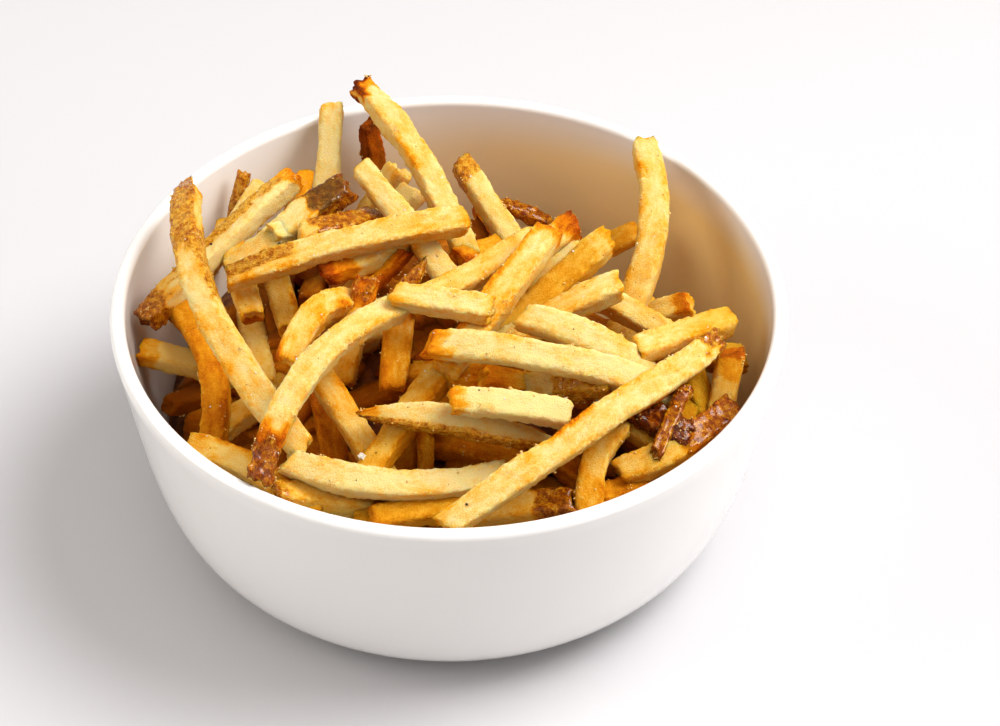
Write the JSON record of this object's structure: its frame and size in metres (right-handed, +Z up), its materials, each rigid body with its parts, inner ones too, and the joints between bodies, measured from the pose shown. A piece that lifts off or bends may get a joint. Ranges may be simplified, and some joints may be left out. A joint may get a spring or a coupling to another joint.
{
  "type": "french fries in a bowl",
  "caption": "Heap of skin-on cut fries in a round white glazed bowl, for a table or tray.",
  "frame": {"origin": "on the table under the middle of the bowl", "axes": "+Z up through the bowl's mouth, +Y towards the back, where the fries leave a hollow, +X to the right"},
  "size_m": [0.17, 0.17, 0.0868],
  "materials": {
    "glaze": "glossy white glaze",
    "fried_potato": "golden fried potato with brown skin patches, lightly salted"
  },
  "bodies": {
    "root": {"bowl": "glaze", "fries": "fried_potato"}
  },
  "joints": []
}
